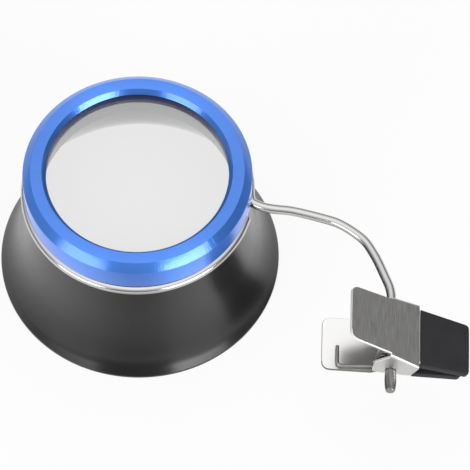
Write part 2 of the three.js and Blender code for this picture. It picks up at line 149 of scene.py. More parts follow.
# Clip
CLIP_YAW_DEG = -1.5
CLIP_PITCH_DEG = 20
PIVOT_OFFSET = 0.55
SHEET = 0.4
HANDLE_LENGTH = 7.8
LOWER_HANDLE_LENGTH = 8.25
JAW_BEND_AT = 3.3
JAW_START = 3.5
JAW_REACH = 10.5
LOWER_JAW_REACH = 9.8
HANDLE_HALF_WIDTH = 3.95
HANDLE_NECK_HALF_WIDTH = 4.15
EAR_BACK_HALF_WIDTH = 4.6
EAR_FRONT_HALF_WIDTH = 4.95
EAR_CLEARANCE = 0.2
EAR_NECK_BACK = 1.3
EAR_BEND_RADIUS = 0.47
EAR_BEND_RUN = EAR_BEND_RADIUS * math.pi / 2
EAR_SLIT = 0.12
JAW_START_HALF_WIDTH = 4.0
JAW_TIP_HALF_WIDTH = 3.55
HANDLE_END_HEIGHT = 5.07
BEND_HEIGHT = 1.94
JAW_START_HEIGHT = 1.49
JAW_TIP_HEIGHT = 0.71
HANDLE_CORNER = 1.1
HANDLE_NECK_CORNER = 0.1
JAW_CORNER = 0.8
JAW_START_OVERHANG = 0.02
SHEET_BEND_SOFTNESS = 0.14
NECK_BLEND = 0.3
EDGE_CHAMFER = 0.05
PIN_HOLE_RADIUS = 0.75
# An ear seen from the side, from its neck round the foot and the nose: along, height, corner radius
EAR_CORNERS = [
    (-1.3, 2.62, 0.9),
    (-2.65, 0.5, 0.25),
    (-2.22, -1.95, 0.35),
    (2.87, -0.45, 0.35),
]

# Rubber sleeves
SLEEVE_FIT = 0.04
SLEEVE_LIP = 0.07
SLEEVE_LIP_OVERLAP = 0.09
SLEEVE_WALL = 0.22
SLEEVE_SIDE_WALL = 0.26
SLEEVE_END_WALL = 0.3
SLEEVE_PLAN_CORNER = 0.6
SLEEVE_EDGE = 0.2
SLEEVE_POCKET_EDGE = 0.02
SLEEVE_CROWN = 0.05
MOST_ROUND = 0.95

# Torsion spring
SPRING_RADIUS = 0.25
SPRING_END_ROUNDING = 0.08
COIL_RADIUS = 1.3
COIL_END_CLEARANCE = 0.15
COIL_WHOLE_TURNS = 5
SPRING_SEAT_GAP = 0.15
LEG_REACH = 6.45
LOWER_LEG_SPLAY = 0.4
LEG_TIP_BEND_RADIUS = 0.7
LEG_TIP_STOP = 0.5

# How finely things are divided
LATHE_STEPS = 240
CORNER_STEPS = 5
CONE_WALL_STEPS = 40
THREAD_ROWS_PER_TURN = 8
LENS_STEPS = 24
WIRE_SIDES = 24
WIRE_STEPS_PER_SPAN = 10
LOOP_ARC_STEPS = 35
PIN_STEPS = 4
HOLE_STEPS = 36
SHEET_BEND_SAMPLES = 9
SLEEVE_STRAIGHT_STEPS = 12
SLEEVE_TIP_STEPS = 9
SLEEVE_FLAT_STEPS = 6
SPRING_SIDES = 14
SPRING_STEPS_PER_TURN = 36
LEG_BEND_STEPS = 8
WELD_DISTANCE = 1e-5

# A jaw's blank has points along its rim and in columns across it, closer together where it bends.
# Where the columns stand along the blank is given as from, to and step
RIM_STEP = 0.3
RIM_GAP = 0.07
FIRST_COLUMN_INSET = 0.25
HANDLE_COLUMN_STEP = 0.45
NECK_COLUMNS = (-1.6, -1.2, 0.075)
EAR_COLUMNS = (-1.15, 3.0, 0.25)
BEND_COLUMNS = (3.04, 4.0, 0.06)
TIP_COLUMNS_FROM = 4.2
TIP_COLUMN_STEP = 0.5
FLAT_SHARES = (0, 0.2, 0.4, 0.6, 0.8, 0.92, 1)
EAR_BEND_STEPS = 7
EAR_ROWS = 17
EAR_ROW_STEP = 0.28

# Edges sharper than these angles are shown as edges
TURNED_SHARP_DEG = 32
LENS_SHARP_DEG = 20
SHEET_SHARP_DEG = 38
SOFT_SHARP_DEG = 50


# Sizes that follow from the others


def lens_sag(radius):
    """How far a lens surface falls back from its middle at a radius."""
    return LENS_SURFACE_RADIUS - math.sqrt(LENS_SURFACE_RADIUS**2 - radius**2)


LENS_SEAT_RISE = lens_sag(LENS_RADIUS) - lens_sag(BORE_RADIUS)
LENS_LOW_EDGE = NECK_TOP + LENS_AXIAL_CLEARANCE + LENS_SEAT_RISE
LENS_HIGH_EDGE = LENS_LOW_EDGE + LENS_EDGE
LIP_UNDERSIDE = LENS_HIGH_EDGE + LENS_SEAT_RISE + LENS_AXIAL_CLEARANCE
RING_TOP = LIP_UNDERSIDE + RING_LIP

# The lower jaw is narrower by this, so that its ears stand inside the upper one's, which spread forwards
EAR_SPREAD = math.atan2(EAR_FRONT_HALF_WIDTH - EAR_BACK_HALF_WIDTH, JAW_BEND_AT + EAR_NECK_BACK)
EAR_NESTING = (SHEET + EAR_CLEARANCE) / math.cos(EAR_SPREAD)
COIL_HALF_LENGTH = EAR_BACK_HALF_WIDTH - EAR_NESTING - SHEET - COIL_END_CLEARANCE - SPRING_RADIUS


# Placing

low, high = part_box("eye_cone")
AXIS = Vector(((low.x + high.x) / 2, (low.y + high.y) / 2, low.z))
LOUPE = Matrix.Translation(AXIS) @ Matrix.Diagonal((MM, MM, MM, 1))
CLIP_TURN = Matrix.Rotation(math.radians(CLIP_YAW_DEG), 4, "Z")
CLIP = LOUPE @ Matrix.Translation(PIVOT) @ CLIP_TURN @ Matrix.Rotation(math.radians(CLIP_PITCH_DEG), 4, "Y")
UPPER = CLIP @ Matrix.Translation((0, 0, PIVOT_OFFSET))
LOWER = UPPER @ Matrix.Rotation(math.pi, 4, "X")

BODY_OF = {node: body for body, nodes in frame["record"]["behaviour"]["bodies"].items() for node in nodes}


def place_object(name, data):
    placed = bpy.data.objects.new(name, data)
    bpy.context.scene.collection.objects.link(placed)
    return placed


def make_piece(name, node, geometry, finishes, matrix=LOUPE, sharp_deg=TURNED_SHARP_DEG):
    """A mesh object from (vertices, faces, corner UVs, finish of each face) that stands for a CAD node."""
    vertices, faces, uvs, finish_of = geometry
    mesh = bpy.data.meshes.new(name)
    mesh.from_pydata([tuple(vertex) for vertex in vertices], [], faces)
    layer = mesh.uv_layers.new(name="UVMap")
    layer.data.foreach_set("uv", [value for corner in uvs for value in corner])
    mesh.polygons.foreach_set("material_index", finish_of)
    for finish in finishes:
        mesh.materials.append(finish)
    solid = bmesh.new()
    solid.from_mesh(mesh)
    bmesh.ops.remove_doubles(solid, verts=solid.verts, dist=WELD_DISTANCE)
    bmesh.ops.recalc_face_normals(solid, faces=solid.faces)
    solid.to_mesh(mesh)
    solid.free()
    mesh.transform(matrix)
    mesh.shade_smooth()
    mesh.set_sharp_from_angle(angle=math.radians(sharp_deg))
    piece = place_object(name, mesh)
    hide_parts(node)
    return piece


def ride(piece, node):
    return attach(piece, BODY_OF[node])


# Geometry helpers


def sides_of(loop):
    """Each entry of a closed loop, together with the one that follows it."""
    return zip(loop, [*loop[1:], loop[0]])


def quarter_turn(steps):
    return [math.pi / 2 * step / steps for step in range(steps + 1)]


def ramp(place, stations):
    """Straight lines between (place, value) stations, carried on past both ends."""
    for (a, low_value), (b, high_value) in zip(stations, stations[1:]):
        if place <= b or (b, high_value) == stations[-1]:
            return low_value + (high_value - low_value) * (place - a) / (b - a)


def smooth_step(value, start, end):
    share = min(1, max(0, (value - start) / (end - start)))
    return share * share * (3 - 2 * share)


def skin(rings, along, around, closed=False, capped=False, finish_of_row=lambda row: 0):
    """Faces between neighbouring rings of points. along and around are the UVs, in millimetres."""
    count = len(rings[0])
    faces, uvs, finishes = [], [], []
    rows = len(rings) if closed else len(rings) - 1
    for row in range(rows):
        following = (row + 1) % len(rings)
        for step in range(count):
            beside = (step + 1) % count
            first, second = row * count, following * count
            faces.append((first + step, first + beside, second + beside, second + step))
            left, right, low, high = around[step], around[step + 1], along[row], along[row + 1]
            uvs += [(left, low), (right, low), (right, high), (left, high)]
            finishes.append(finish_of_row(row))
    if capped:
        for row, order in ((0, range(count)), (rows, reversed(range(count)))):
            faces.append(tuple(row * count + step for step in order))
            uvs += [(around[step], along[row]) for step in range(count)]
            finishes.append(finish_of_row(min(row, rows - 1)))
    return [point for ring in rings for point in ring], faces, uvs, finishes


def rounded(corners):
    """A closed outline of (x, y, corner radius), with each corner replaced by a short arc."""
    points = []
    for at, (x, y, radius) in enumerate(corners):
        corner = Vector((x, y))
        if radius == 0:
            points.append(corner)
            continue
        before = (Vector(corners[at - 1][:2]) - corner).normalized()
        after = (Vector(corners[(at + 1) % len(corners)][:2]) - corner).normalized()
        half = before.angle(after) / 2
        reach = radius / math.tan(half)
        centre = corner + (before + after).normalized() * radius / math.sin(half)
        start = corner + before * reach - centre
        end = corner + after * reach - centre
        turn = start.angle_signed(end)
        for step in range(CORNER_STEPS + 1):
            points.append(centre + Matrix.Rotation(-turn * step / CORNER_STEPS, 2) @ start)
    return [tuple(point) for point in points]


def rounded_run(before, corners, after):
    """The same for an open run of corners. Its two neighbours only give directions."""
    return rounded([(*before, 0), *corners, (*after, 0)])[1:-1]


def lathe(outline, finish_of_row):
    """Turns a closed outline round Z. An entry is a (radius, height) pair or a function of the angle."""
    angles = [2 * math.pi * step / LATHE_STEPS for step in range(LATHE_STEPS)]
    rings = []
    for entry in outline:
        pairs = [entry(angle) if callable(entry) else entry for angle in angles]
        rings.append([(r * math.cos(a), r * math.sin(a), z) for (r, z), a in zip(pairs, angles)])
    seam = [ring[0] for ring in rings]
    along = [0.0]
    for before, after in sides_of(seam):
        along.append(along[-1] + math.dist(before, after))
    girth = 2 * math.pi * max(radius for radius, *_ in seam)
    around = [girth * step / LATHE_STEPS for step in range(LATHE_STEPS + 1)]
    return skin(rings, along, around, closed=True, finish_of_row=finish_of_row)


def thread_rows(foot, top, crest, depth):
    """Outline entries of a helical thread between two heights, fading out at both ends."""
    rows = math.ceil((top - foot) / THREAD_PITCH * THREAD_ROWS_PER_TURN)

    def entry(height):
        fade = min(1, (height - foot) / (THREAD_PITCH / 2), (top - height) / (THREAD_PITCH / 2))

        def at(angle):
            phase = (height / THREAD_PITCH - angle / (2 * math.pi)) % 1
            valley = abs(2 * phase - 1) * max(0, fade)
            return crest + depth * valley, height

        return at

    return [entry(foot + (top - foot) * row / rows) for row in range(rows + 1)]


def spline(points, steps_per_span):
    """A centripetal Catmull-Rom curve through points, as the wire's route is."""
    ends = [points[0] * 2 - points[1], *points, points[-1] * 2 - points[-2]]
    route = []
    for at in range(1, len(ends) - 2):
        p0, p1, p2, p3 = ends[at - 1 : at + 3]
        d0, d1, d2 = math.sqrt((p1 - p0).length), math.sqrt((p2 - p1).length), math.sqrt((p3 - p2).length)
        m1 = ((p1 - p0) / d0 - (p2 - p0) / (d0 + d1) + (p2 - p1) / d1) * d1
        m2 = ((p2 - p1) / d1 - (p3 - p1) / (d1 + d2) + (p3 - p2) / d2) * d1
        for step in range(steps_per_span):
            t = step / steps_per_span
            route.append(
                p1 * (2 * t**3 - 3 * t**2 + 1)
                + m1 * (t**3 - 2 * t**2 + t)
                + p2 * (3 * t**2 - 2 * t**3)
                + m2 * (t**3 - t**2)
            )
    return [*route, points[-1]]


def sweep(route, section, sides, rounding, second_finish_length=0):
    """A tube along a route, with rounded ends and perhaps a second finish on its last stretch.

    section gives the half width and half height at a distance from the end.
    """
    travelled = [0.0]
    for before, after in zip(route, route[1:]):
        travelled.append(travelled[-1] + (after - before).length)
    length = travelled[-1]
    last = len(route) - 1
    circle = [2 * math.pi * side / sides for side in range(sides)]
    rings, along = [], []

    def ring(centre, across, upward, distance, shrink):
        wide, tall = section(length - distance)
        scale = 1 - shrink / min(wide, tall)
        return [
            centre + across * (wide * scale * math.cos(angle)) + upward * (tall * scale * math.sin(angle))
            for angle in circle
        ]

    across = (route[1] - route[0]).cross(Vector((0, 0, 1)))
    for at, (point, distance) in enumerate(zip(route, travelled)):
        tangent = (route[min(at + 1, last)] - route[max(at - 1, 0)]).normalized()
        across = (across - tangent * across.dot(tangent)).normalized()
        upward = tangent.cross(across)
        if at in (0, last):
            inward = 1 if at == 0 else -1
            for turn in quarter_turn(CORNER_STEPS)[::inward]:
                depth = rounding * (1 - math.cos(turn)) * inward
                shrink = rounding * (1 - math.sin(turn))
                rings.append(ring(point + tangent * depth, across, upward, distance, shrink))
                along.append(distance + depth)
        elif rounding <= distance <= length - rounding:
            rings.append(ring(point, across, upward, distance, 0))
            along.append(distance)

    # The UVs round the spring have the wire's girth too, so that both show the same lines
    girth = 2 * math.pi * WIRE_RADIUS
    around = [girth * side / sides for side in range(sides + 1)]

    def finish_of_row(row):
        return 1 if along[row] >= length - second_finish_length else 0

    return skin(rings, along, around, capped=True, finish_of_row=finish_of_row)


# Procedural finishes

# How often a pattern repeats per millimetre, round or across the piece and along it
TURNING_LINES = (0.02, 9)
TOOL_STREAKS = (2.6, 0.25)
DRAWN_LINES = (5.0, 0.12)
BRUSHED_LINES = (0.4, 5.0)
POLISHED_LINES = (0.5, 7.0)
# How often a pattern without a direction repeats per metre
ANODISED_PATCHES = 260
GLASS_SMEARS = 150
HANDLING_MARKS = 420
RUBBER_GRAIN = 9000
# Most of a noise texture's values lie between these two
NOISE_LOW = 0.3
NOISE_HIGH = 0.7


def plug(tree, node, *values, **named):
    """Sets a node's inputs, in order or by name, to values or to other nodes' outputs."""
    named = {name.replace("_", " "): value for name, value in named.items()}
    for socket, value in [*enumerate(values), *named.items()]:
        if isinstance(value, bpy.types.NodeSocket):
            tree.links.new(value, node.inputs[socket])
        else:
            node.inputs[socket].default_value = value
    return node


def add(tree, kind, *values, **named):
    return plug(tree, tree.nodes.new(kind), *values, **named)


def new_finish(name, colour, metallic, roughness, **sockets):
    """A Principled material. Uniform values sit on its own sockets."""
    finish = bpy.data.materials.new(name)
    finish.use_nodes = True
    tree = finish.node_tree
    shader = tree.nodes["Principled BSDF"]
    plug(tree, shader, Base_Color=(*colour, 1), Metallic=metallic, Roughness=roughness, **sockets)
    return finish, tree, shader


def noise(tree, place, scale, detail, roughness=0.5):
    texture = add(tree, "ShaderNodeTexNoise", Vector=place, Scale=scale, Detail=detail, Roughness=roughness)
    return texture.outputs["Fac"]


def worked_lines(tree, stretch, detail, roughness=0.5):
    """Noise on the piece's own UVs, stretched to follow the direction in which it was worked."""
    place = add(tree, "ShaderNodeTexCoord").outputs["UV"]
    mapping = add(tree, "ShaderNodeMapping", Vector=place, Scale=(*stretch, 1))
    return noise(tree, mapping.outputs["Vector"], 1, detail, roughness)


def cloud(tree, per_metre, detail):
    """Noise that is even in all directions."""
    return noise(tree, add(tree, "ShaderNodeTexCoord").outputs["Object"], per_metre, detail)


def calculate(tree, operation, first, second):
    node = add(tree, "ShaderNodeMath", first, second)
    node.operation = operation
    return node.outputs["Value"]


def over(tree, value, first, last, start, end):
    """Maps a value's range from first..last to start..end, and holds it past both ends."""
    return add(tree, "ShaderNodeMapRange", value, first, last, start, end).outputs["Result"]


def in_range(tree, value, low_value, high_value):
    """Spreads a noise value over a range."""
    return over(tree, value, NOISE_LOW, NOISE_HIGH, low_value, high_value)


def between(tree, value, low_colour, high_colour):
    """Blends two colours by a noise value."""
    blend = tree.nodes.new("ShaderNodeMix")
    blend.data_type = "RGBA"
    plug(tree, blend, Factor=in_range(tree, value, 0, 1), A=(*low_colour, 1), B=(*high_colour, 1))
    return blend.outputs["Result"]


def shaded(colour, share):
    return tuple(channel * share for channel in colour)


def bump(tree, shader, height, depth):
    normal = add(tree, "ShaderNodeBump", Height=height, Distance=depth * MM).outputs["Normal"]
    plug(tree, shader, Normal=normal, Coat_Normal=normal)


def turned_metal(name, colour, metallic, roughness, depth, mottle=0.06, spread=0, streaks=0, **sockets):
    """Metal turned on a lathe, with fine lines round the axis.

    spread draws the highlights out across the lines, and streaks adds the marks of an unsteady tool.
    """
    finish, tree, shader = new_finish(name, colour, metallic, roughness, **sockets)
    lines = worked_lines(tree, TURNING_LINES, detail=4, roughness=0.7)
    patchy = between(tree, cloud(tree, ANODISED_PATCHES, 3), shaded(colour, 1 - mottle), colour)
    uneven = in_range(tree, lines, roughness * 0.85, roughness * 1.2)
    plug(tree, shader, Base_Color=patchy, Roughness=uneven)
    if streaks:
        marks = calculate(tree, "MULTIPLY", worked_lines(tree, TOOL_STREAKS, detail=3), streaks)
        lines = calculate(tree, "ADD", lines, marks)
    bump(tree, shader, lines, depth)
    if spread:
        round_axis = tree.nodes.new("ShaderNodeTangent")
        round_axis.direction_type = "UV_MAP"
        round_axis.uv_map = "UVMap"
        tangent = round_axis.outputs["Tangent"]
        plug(tree, shader, Anisotropic=spread, Anisotropic_Rotation=0.25, Tangent=tangent)
    return finish


def drawn_metal(name, colour, roughness, depth, stretch=DRAWN_LINES, mottle=0.1, metallic=1.0):
    """Metal with fine lines in one direction, as drawn wire and brushed sheet have."""
    finish, tree, shader = new_finish(name, colour, metallic, roughness)
    lines = worked_lines(tree, stretch, detail=5, roughness=0.65)
    streaked = between(tree, lines, shaded(colour, 1 - mottle), colour)
    uneven = in_range(tree, lines, roughness * 0.8, roughness * 1.25)
    plug(tree, shader, Base_Color=streaked, Roughness=uneven)
    bump(tree, shader, lines, depth)
    return finish


def rubber(name, colour):
    """Moulded rubber with a fine matte grain and faint handling marks."""
    finish, tree, shader = new_finish(name, colour, 0, 0.62, Specular_IOR_Level=0.35)
    marks = cloud(tree, HANDLING_MARKS, 3)
    marked = between(tree, marks, colour, shaded(colour, 1.35))
    plug(tree, shader, Base_Color=marked, Roughness=in_range(tree, marks, 0.55, 0.72))
    bump(tree, shader, cloud(tree, RUBBER_GRAIN, 4), 0.02)
    return finish


def clear_glass(name, colour):
    """Clear glass with faint smears."""
    finish, tree, shader = new_finish(name, colour, 0, 0, IOR=1.5, Transmission_Weight=1)
    plug(tree, shader, Roughness=in_range(tree, cloud(tree, GLASS_SMEARS, 2), 0, 0.012))
    return finish


BLACK = (0.005, 0.005, 0.0055)
OUTSIDE_COAT = {"Specular_IOR_Level": 0.2, "Coat_Weight": 1, "Coat_Roughness": 0.21, "Coat_IOR": 1.48}
INSIDE_COAT = {"Specular_IOR_Level": 1, "Coat_Weight": 1, "Coat_Roughness": 0.16, "Coat_IOR": 1.5}
BLUE_COAT = {"Coat_Weight": 1, "Coat_Roughness": 0.12, "Coat_IOR": 1.5}
BLACK_ANODISED = turned_metal("black_anodised", BLACK, 0, 0.4, 0.0012, 0.3, spread=0.95, **OUTSIDE_COAT)
BLACK_INSIDE = turned_metal("black_inside", BLACK, 0, 0.12, 0.0005, 0.3, **INSIDE_COAT)
BLUE_ANODISED = turned_metal(
    "blue_anodised", (0.085, 0.3, 1.0), 1, 0.38, 0.0012, spread=0.9, streaks=16, **BLUE_COAT
)
GREY_THROAT = turned_metal("grey_throat", (0.4, 0.4, 0.405), 1, 0.25, 0.0005)
# A darker copy of the blue anodising, for the ring's bore and thread: painted shade
BLUE_BORE_PAINTED_SHADE = turned_metal("blue_bore_painted_shade", (0.012, 0.025, 0.11), 1, 0.35, 0.004)
LENS_GLASS = clear_glass("lens_glass", (0.985, 0.99, 0.985))
GROUND_GLASS, *_ = new_finish("ground_glass", (0.9, 0.91, 0.92), 0, 0.6)
BRIGHT_WIRE = drawn_metal("bright_wire", (0.64, 0.635, 0.63), 0.18, 0.003)
CRIMPED_END = drawn_metal("crimped_end", (0.3, 0.295, 0.29), 0.26, 0.003)
SPRING_STEEL = drawn_metal("spring_steel", (0.36, 0.35, 0.34), 0.3, 0.003)
BRUSHED_SHEET = drawn_metal("brushed_sheet", (0.65, 0.645, 0.63), 0.36, 0.002, BRUSHED_LINES, 0.13)
POLISHED_SHEET = drawn_metal("polished_sheet", (0.9, 0.895, 0.88), 0.22, 0.0008, POLISHED_LINES, 0.04)
SHEET_EDGE = drawn_metal("sheet_edge", (0.85, 0.85, 0.85), 0.5, 0.002, metallic=0.5)
# A darker copy of the sheet's cut edge, for the lower jaw: painted shade
SHEET_EDGE_PAINTED_SHADE = drawn_metal("sheet_edge_painted_shade", (0.22, 0.215, 0.21), 0.5, 0.002)
BLACK_RUBBER = rubber("black_rubber", (0.017, 0.017, 0.02))


# Eye cone


def cone_wall(start, end, inset):
    """A stretch of the wall between two heights, without its two ends. An inset cuts its radius."""
    points = []
    for step in range(1, CONE_WALL_STEPS):
        height = start + (end - start) * step / CONE_WALL_STEPS
        share = min((CONE_TOP - height) / (CONE_TOP - RIM_LIP), 1)
        radius = CONE_TOP_RADIUS + CONE_TAPER * share + CONE_FLARE * share**CONE_FLARE_POWER
        points.append((radius - inset, height))
    return points


def make_eye_cone():
    inner_wall = cone_wall(SHOULDER, RIM_CHAMFER, CONE_WALL)
    outer_wall = cone_wall(RIM_LIP, CONE_TOP, 0)
    thread_foot = (THREAD_RADIUS, NECK_STEP)
    rim = rounded_run(inner_wall[-1], [
        (RIM_RADIUS - CONE_WALL, RIM_CHAMFER, RIM_EDGE),
        (RIM_RADIUS - CONE_WALL + RIM_CHAMFER, 0, FINE_EDGE),
        (RIM_RADIUS, 0, RIM_EDGE),
        (RIM_RADIUS, RIM_LIP, RIM_LIP_BLEND),
    ], outer_wall[1])
    neck = rounded_run(outer_wall[-1], [
        (CONE_TOP_RADIUS, CONE_TOP, NECK_EDGE),
        (WIRE_SEAT_RADIUS, CONE_TOP, FINE_EDGE),
        (WIRE_SEAT_RADIUS, NECK_STEP, FINE_EDGE),
    ], thread_foot)
    thread = thread_rows(NECK_STEP + THREAD_FOOT_GAP, NECK_TOP - THREAD_TOP_GAP, THREAD_RADIUS, -THREAD_DEPTH)
    throat = rounded_run(thread_foot, [
        (THREAD_RADIUS, NECK_TOP, FINE_EDGE),
        (BORE_RADIUS, NECK_TOP, NECK_EDGE),
        (BORE_RADIUS, SHOULDER, NECK_EDGE),
        (inner_wall[0][0], SHOULDER, 0),
    ], inner_wall[1])
    outside = [*rim, *outer_wall[1:], *neck, thread_foot, *thread]
    outline = [*outside, *throat, *inner_wall[1:]]
    # The grey lens seat begins behind the neck's top corner, and the black inside at the throat's foot
    lens_seat = len(outside) + CORNER_STEPS
    throat_foot = len(outside) + 2 * (CORNER_STEPS + 1) + 1

    def finish_of_row(row):
        if row >= throat_foot:
            return 1
        return 2 if row >= lens_seat else 0

    finishes = [BLACK_ANODISED, BLACK_INSIDE, GREY_THROAT]
    piece = make_piece("eye_cone_shell", "eye_cone", lathe(outline, finish_of_row), finishes)
    ride(piece, "eye_cone")


# Lens


def make_lens():
    """Two curved faces and an edge. The edge and the upper face's outermost part are ground."""
    rim_sag = lens_sag(LENS_RADIUS)
    reach = LENS_RADIUS - LENS_EDGE_CHAMFER
    radii = sorted({LENS_GROUND_FROM, *(reach * step / LENS_STEPS for step in range(LENS_STEPS + 1))})
    lower = [(radius, LENS_LOW_EDGE - rim_sag + lens_sag(radius)) for radius in radii]
    upper = [(radius, LENS_HIGH_EDGE + rim_sag - lens_sag(radius)) for radius in reversed(radii)]
    edge = [
        (LENS_RADIUS, LENS_LOW_EDGE + LENS_EDGE_CHAMFER / 2),
        (LENS_RADIUS, LENS_HIGH_EDGE - LENS_EDGE_CHAMFER / 2),
    ]
    outline = [*lower, *edge, *upper]
    ground_from = len(lower) - 1

    def finish_of_row(row):
        return 1 if row >= ground_from and outline[(row + 1) % len(outline)][0] >= LENS_GROUND_FROM else 0

    geometry = lathe(outline, finish_of_row)
    piece = make_piece("lens_glass", "lens", geometry, [LENS_GLASS, GROUND_GLASS], sharp_deg=LENS_SHARP_DEG)
    piece.visible_shadow = False
    piece.visible_diffuse = False
    ride(piece, "lens")


# Screwed ring


def make_ring():
    """The ring, with painted shade in its bore and thread, a darker copy of its blue. The other pieces don't
    mirror it.
    """
    corners = [
        (RING_BORE, RING_FOOT),
        (RING_RADIUS - RING_FOOT_CHAMFER, RING_FOOT),
        (RING_RADIUS, RING_FOOT + RING_FOOT_CHAMFER),
        (RING_RADIUS, RING_TOP - RING_OUTER_CHAMFER),
        (RING_RADIUS - RING_OUTER_CHAMFER, RING_TOP),
        (BORE_RADIUS + RING_INNER_CHAMFER_WIDTH, RING_TOP),
        (BORE_RADIUS, RING_TOP - RING_INNER_CHAMFER_DEPTH),
        (BORE_RADIUS, LIP_UNDERSIDE),
        (LENS_POCKET_RADIUS, LIP_UNDERSIDE),
        (LENS_POCKET_RADIUS, LENS_POCKET_FOOT),
        (RING_BORE, LENS_POCKET_FOOT),
    ]
    foot, top = RING_FOOT + THREAD_TOP_GAP, LENS_POCKET_FOOT - THREAD_TOP_GAP
    thread = thread_rows(foot, top, RING_BORE, THREAD_DEPTH)
    outline = [*rounded([(*corner, FINE_EDGE) for corner in corners]), *reversed(thread)]
    chamfer_foot = RING_TOP - RING_INNER_CHAMFER_DEPTH

    def finish_of_row(row):
        entry, following = outline[row], outline[(row + 1) % len(outline)]
        if callable(entry) or callable(following):
            return 1
        inside_bore = max(entry[0], following[0]) < BORE_RADIUS + FINE_EDGE
        return 1 if inside_bore and (entry[1] + following[1]) / 2 < chamfer_foot else 0

    finishes = [BLUE_ANODISED, BLUE_BORE_PAINTED_SHADE]
    piece = make_piece("anodised_ring", "bezel_ring", lathe(outline, finish_of_row), finishes)
    piece.visible_glossy = False
    ride(piece, "bezel_ring")


# Wire


def wire_route():
    """The loop, the arm to the back of the clip, and the straight pin through it."""
    pin = CLIP_TURN.to_3x3() @ Vector((0, -1, 0))
    points = []
    for step in range(LOOP_ARC_STEPS + 1):
        angle = math.radians(LOOP_GAP_START_DEG - LOOP_ARC_DEG * step / LOOP_ARC_STEPS)
        points.append(Vector((LOOP_RADIUS * math.cos(angle), LOOP_RADIUS * math.sin(angle), WIRE_HEIGHT)))
    start, end = points[-1], PIVOT - pin * PIN_BACK
    for across, forwards in ARM_ROUTE_SHARES:
        gone = (across, forwards, across)
        points.append(Vector(a + (b - a) * share for a, b, share in zip(start, end, gone)))
    for step in range(PIN_STEPS + 1):
        points.append(end + pin * ((PIN_BACK + PIN_FRONT) * step / PIN_STEPS))
    return spline(points, WIRE_STEPS_PER_SPAN)


def wire_section(from_end):
    """Round, but pinched flat and wide near the end that keeps the clip on."""
    share = 1 - from_end / CRIMP_LENGTH
    pinch = math.sin(math.pi * share) ** CRIMP_FULLNESS if 0 < share < 1 else 0
    wide = WIRE_RADIUS + (CRIMP_HALF_WIDTH - WIRE_RADIUS) * pinch
    tall = WIRE_RADIUS + (CRIMP_HALF_THICKNESS - WIRE_RADIUS) * pinch
    return wide, tall


def make_wire():
    geometry = sweep(wire_route(), wire_section, WIRE_SIDES, WIRE_END_ROUNDING, CRIMP_LENGTH)
    piece = make_piece("wire_loop_and_arm", "wire_arm", geometry, [BRIGHT_WIRE, CRIMPED_END])
    ride(piece, "wire_arm")


# Jaws: a flat blank, drawn in two directions, folded into shape and given its thickness


def sheet_height(along):
    """Height of the outer face above the mid-plane, with its two bends slightly rounded."""
    stations = [
        (-HANDLE_LENGTH, HANDLE_END_HEIGHT),
        (JAW_BEND_AT, BEND_HEIGHT),
        (JAW_START, JAW_START_HEIGHT),
        (JAW_REACH, JAW_TIP_HEIGHT),
    ]
    offsets = [2 * sample / (SHEET_BEND_SAMPLES - 1) - 1 for sample in range(SHEET_BEND_SAMPLES)]
    heights = [ramp(along + SHEET_BEND_SOFTNESS * offset, stations) for offset in offsets]
    return sum(heights) / len(heights)


